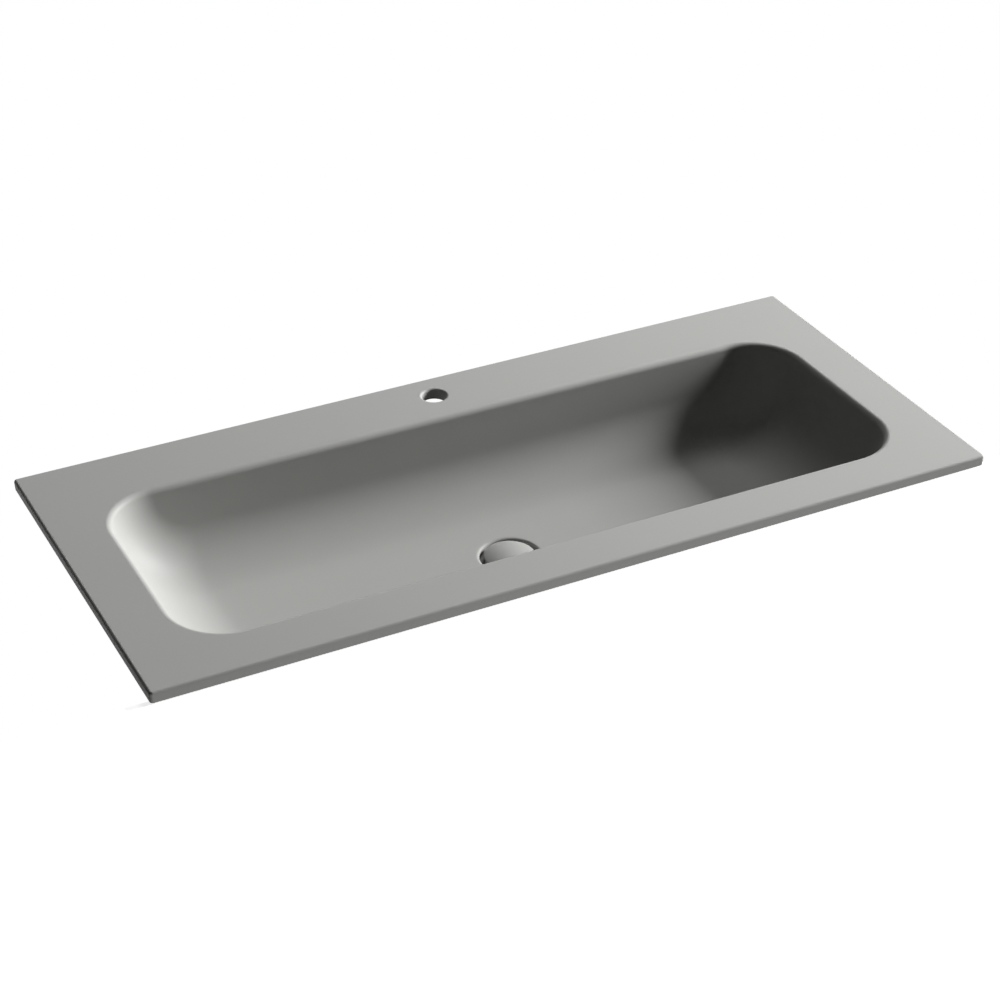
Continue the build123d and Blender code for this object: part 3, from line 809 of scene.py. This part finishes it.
def buildNut():
    # A hexagon clipped by the cone that takes its corners off: r = the least of flat and cone, softened as
    # flat + (cone - flat) b - soft b (1 - b) / 2, where b = 1/2 + (flat - cone) / (2 soft) held in 0 to 1
    low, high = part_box("backnut")
    corner, hole, chamfer, soft = (high.x - low.x) / 2, nut["hole"], nut["chamfer"], nut["soft"]
    apothem = corner * math.cos(math.pi / 6)
    a = np.arange(nut["columns"]) * 2 * math.pi / nut["columns"]
    flat = (apothem / np.cos(np.mod(a, math.pi / 3) - math.pi / 6))[None, :]
    profile = denser(roundedProfile(edged([
        (hole, low.z), (corner - chamfer, low.z), (corner, low.z + chamfer),
        (corner, high.z - chamfer), (corner - chamfer, high.z), (hole, high.z),
    ], nut["edges"]), steps=4, loop=True), nut["longestRun"], loop=True)
    cone = profile[:, 0][:, None]
    blend = np.clip(0.5 + 0.5 * (flat - cone) / soft, 0, 1)
    clipped = flat + (cone - flat) * blend - soft * blend * (1 - blend) * 0.5
    height = np.broadcast_to(profile[:, 1][:, None], clipped.shape)
    surface = turned(np.stack([clipped, height], axis=-1), nut["columns"], loop=True)
    return makePiece("backNut", [surface], platedBrass, "basin", ["backnut"], sharp=40)


buildWasteBody()
buildNut()
print("waste body and nut ready")


def buildRing(name, node, corners, material, body="basin"):
    # A plain turned ring that keeps its node's place
    profile = roundedProfile(corners, steps=5, loop=True)
    return makePiece(name, [turned(profile, loop=True)], material, body, [node])


def ringCorners(node, hole, edge, inner=None):
    # Four corners of a flat ring from its node's box
    low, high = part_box(node)
    outer, inner = (high.x - low.x) / 2, inner or edge
    return [(hole, low.z, inner), (outer, low.z, edge), (outer, high.z, edge), (hole, high.z, inner)]


passing = 21.26 * mm                         # radius of the holes that the threaded tail goes through
flatRings = {"gasketEdge": 0.5 * mm, "washerEdge": 0.35 * mm, "sealEdge": 0.7 * mm, "sealInner": 0.2 * mm}
buildRing("flangeGasket", "flange_gasket", ringCorners("flange_gasket", passing, flatRings["gasketEdge"]),
          blackRubber)
buildRing("slipWasher", "slip_washer", ringCorners("slip_washer", passing, flatRings["washerEdge"]),
          whitePlastic)

coneRing = {"foot": 26 * mm, "nose": 3 * mm, "noseRadius": 22.7 * mm,
            "edges": (0.5, 1.2, 2, 0.8, 0.2, 0.4, 0.2)}
coneLow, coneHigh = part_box("cone_gasket")
coneOuter, coneTop = (coneHigh.x - coneLow.x) / 2, coneHigh.z - coneRing["nose"]
buildRing("coneGasket", "cone_gasket", edged([
    (passing, coneLow.z),
    (coneRing["foot"], coneLow.z),
    (coneOuter, (coneLow.z + coneTop) / 2),
    (coneOuter, coneTop),
    (coneRing["noseRadius"], coneTop),
    (coneRing["noseRadius"], coneTop + coneRing["nose"] / 2),
    (passing, coneHigh.z),
], coneRing["edges"]), blackRubber)

carrier = {"radius": 18.5 * mm, "lip": 19.7 * mm, "lipThickness": 1 * mm, "boss": 6 * mm, "longestRun": 2 * mm,
           "edges": (0, 0.3, 0.15, 0.3, 0.3, 1.2, 0.5, 0)}
carrierLow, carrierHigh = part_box("cover_carrier")
sealLow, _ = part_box("cover_seal")
lipLow = sealLow.z - carrier["lipThickness"]
carrierProfile = roundedProfile(edged([
    (poleRadius, carrierHigh.z),
    (carrier["radius"], carrierHigh.z),
    (carrier["radius"], sealLow.z),
    (carrier["lip"], sealLow.z),
    (carrier["lip"], lipLow),
    (carrier["boss"], lipLow),
    (carrier["boss"], carrierLow.z),
    (poleRadius, carrierLow.z),
], carrier["edges"]), steps=5)
makePiece("coverCarrier", [turned(denser(carrierProfile, carrier["longestRun"]))], platedBrass, "plug",
          ["cover_carrier"], sharp=50)
buildRing("coverSeal", "cover_seal",
          ringCorners("cover_seal", carrier["radius"], flatRings["sealEdge"], flatRings["sealInner"]),
          blackRubber, body="plug")

fineCopy("coverStud", "cover_stud", bareBrass, "plug")
fineCopy("pushRod", "push_rod", whitePlastic, "plug")
fineCopy("ratchetRing", "ratchet_ring", whitePlastic, "plug")

# The spring is on no body; its place is baked into its points
returnSpring = fineCopy("returnSpring", "return_spring", springSteel, None, bevel=0)
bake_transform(returnSpring)

fineCopy("cartridgeBody", "cartridge_body", bareBrass, "basin")
fineCopy("cartridgeCap", "cartridge_cap", bareBrass, "basin")
print("cover, carrier and cartridge ready")


# Stage, light and camera

studio = {"floorGlow": 0.8, "floorTone": (0.9, 0.9, 0.9, 1), "floorReach": 5.0, "floorHeight": -0.2 * mm,
          "floorTuck": 8 * mm,                   # how far the floor goes in under the rim
          "worldFill": 0.0, "worldWhite": (1, 1, 1, 1)}


def seenDirectly(tree):
    # 1 for rays that look at the background, straight or through a mirror
    rays = tree.nodes.new("ShaderNodeLightPath").outputs
    seen = mathNode(tree, "MAXIMUM", rays["Is Camera Ray"], rays["Is Glossy Ray"])
    return mathNode(tree, "MAXIMUM", seen, rays["Is Transmission Ray"])


def floorMaterial():
    # White to the camera, with the object's shadow on it; it throws no light back on the object
    material = bpy.data.materials.new("paleFloor")
    material.use_nodes = True
    tree = material.node_tree
    tree.nodes.clear()
    tone = tree.nodes.new("ShaderNodeBsdfDiffuse")
    tone.inputs["Color"].default_value = studio["floorTone"]
    glow = tree.nodes.new("ShaderNodeEmission")
    glow.inputs["Strength"].default_value = studio["floorGlow"]
    lit = tree.nodes.new("ShaderNodeAddShader")
    clear = tree.nodes.new("ShaderNodeBsdfTransparent")
    pick = tree.nodes.new("ShaderNodeMixShader")
    front = mathNode(tree, "SUBTRACT", 1.0, tree.nodes.new("ShaderNodeNewGeometry").outputs["Backfacing"])
    out = tree.nodes.new("ShaderNodeOutputMaterial")
    tree.links.new(tone.outputs[0], lit.inputs[0])
    tree.links.new(glow.outputs[0], lit.inputs[1])
    tree.links.new(mathNode(tree, "MULTIPLY", seenDirectly(tree), front), pick.inputs["Fac"])
    tree.links.new(clear.outputs[0], pick.inputs[1])
    tree.links.new(lit.outputs[0], pick.inputs[2])
    tree.links.new(pick.outputs[0], out.inputs["Surface"])
    return material


def addFloor():
    # A level sheet in front of the object, which goes in just under the rim's front edge
    far, back, height = studio["floorReach"], sinkLow.y + studio["floorTuck"], studio["floorHeight"]
    mesh = bpy.data.meshes.new("frontFloor")
    mesh.from_pydata([(-far, -far, height), (far, -far, height), (far, back, height), (-far, back, height)],
                     [], [[0, 1, 2, 3]])
    mesh.materials.append(floorMaterial())
    floor = bpy.data.objects.new("frontFloor", mesh)
    bpy.context.scene.collection.objects.link(floor)


def addWorld():
    # Pure white where it is looked at, and no light from it on the object
    world = bpy.data.worlds.new("studio")
    bpy.context.scene.world = world
    world.use_nodes = True
    tree = world.node_tree
    tree.nodes.clear()
    fill = tree.nodes.new("ShaderNodeBackground")
    fill.inputs["Strength"].default_value = studio["worldFill"]
    white = tree.nodes.new("ShaderNodeBackground")
    white.inputs["Color"].default_value = studio["worldWhite"]
    white.inputs["Strength"].default_value = 1.0
    pick = tree.nodes.new("ShaderNodeMixShader")
    out = tree.nodes.new("ShaderNodeOutputWorld")
    tree.links.new(seenDirectly(tree), pick.inputs["Fac"])
    tree.links.new(fill.outputs[0], pick.inputs[1])
    tree.links.new(white.outputs[0], pick.inputs[2])
    tree.links.new(pick.outputs[0], out.inputs["Surface"])


lamps = {                                    # azimuth from +X and elevation in degrees, distance, size, watts
    "sideBox": (0, 24, 6.0, (0.9, 1.5), 635),
    "lowBox": (-2, 10, 6.0, (1.3, 1.4), 310),
    "backBox": (44, 48, 6.0, (1.8, 1.8), 92),
    "frontBox": (-84, -30, 3.0, (1.8, 0.6), 46),
}


def softBox(name, azimuth, elevation, distance, size, power):
    # A rectangular area lamp that looks at the middle of the bowl
    lamp = bpy.data.lights.new(name, "AREA")
    lamp.shape = "RECTANGLE"
    lamp.size, lamp.size_y = size
    lamp.energy = power
    box = bpy.data.objects.new(name, lamp)
    bpy.context.scene.collection.objects.link(box)
    turn, rise = math.radians(azimuth), math.radians(elevation)
    towards = Vector((math.cos(turn) * math.cos(rise), math.sin(turn) * math.cos(rise), math.sin(rise)))
    box.location = Vector((0, drainY, 0)) + distance * towards
    box.rotation_euler = towards.to_track_quat("Z", "Y").to_euler()


view = {"place": (-1.2332, -2.6486, 1.6548), "yaw": 27.25, "pitch": 32.23, "roll": 0.35, "lens": 84.0,
        "sensor": 36, "farthest": 60}


def addCamera():
    # Looks along the yaw from +Y towards +X and down by the pitch, then leans by the roll
    yaw, pitch, roll = (math.radians(view[key]) for key in ("yaw", "pitch", "roll"))
    ahead = Vector((math.sin(yaw) * math.cos(pitch), math.cos(yaw) * math.cos(pitch), -math.sin(pitch)))
    right = Vector((math.cos(yaw), -math.sin(yaw), 0))
    up = right.cross(ahead)
    leanRight = right * math.cos(roll) + up * math.sin(roll)
    leanUp = up * math.cos(roll) - right * math.sin(roll)
    turn = Matrix((leanRight, leanUp, -ahead)).transposed()
    camera = bpy.data.objects.new("camera", bpy.data.cameras.new("camera"))
    bpy.context.scene.collection.objects.link(camera)
    camera.data.sensor_width = view["sensor"]
    camera.data.lens = view["lens"]
    camera.data.clip_end = view["farthest"]
    camera.matrix_world = Matrix.Translation(view["place"]) @ turn.to_4x4()
    bpy.context.scene.camera = camera


addFloor()
addWorld()
for lampName, setting in lamps.items():
    softBox(lampName, *setting)
addCamera()
bpy.context.scene.view_settings.view_transform = "Standard"
print("stage, light and camera ready")
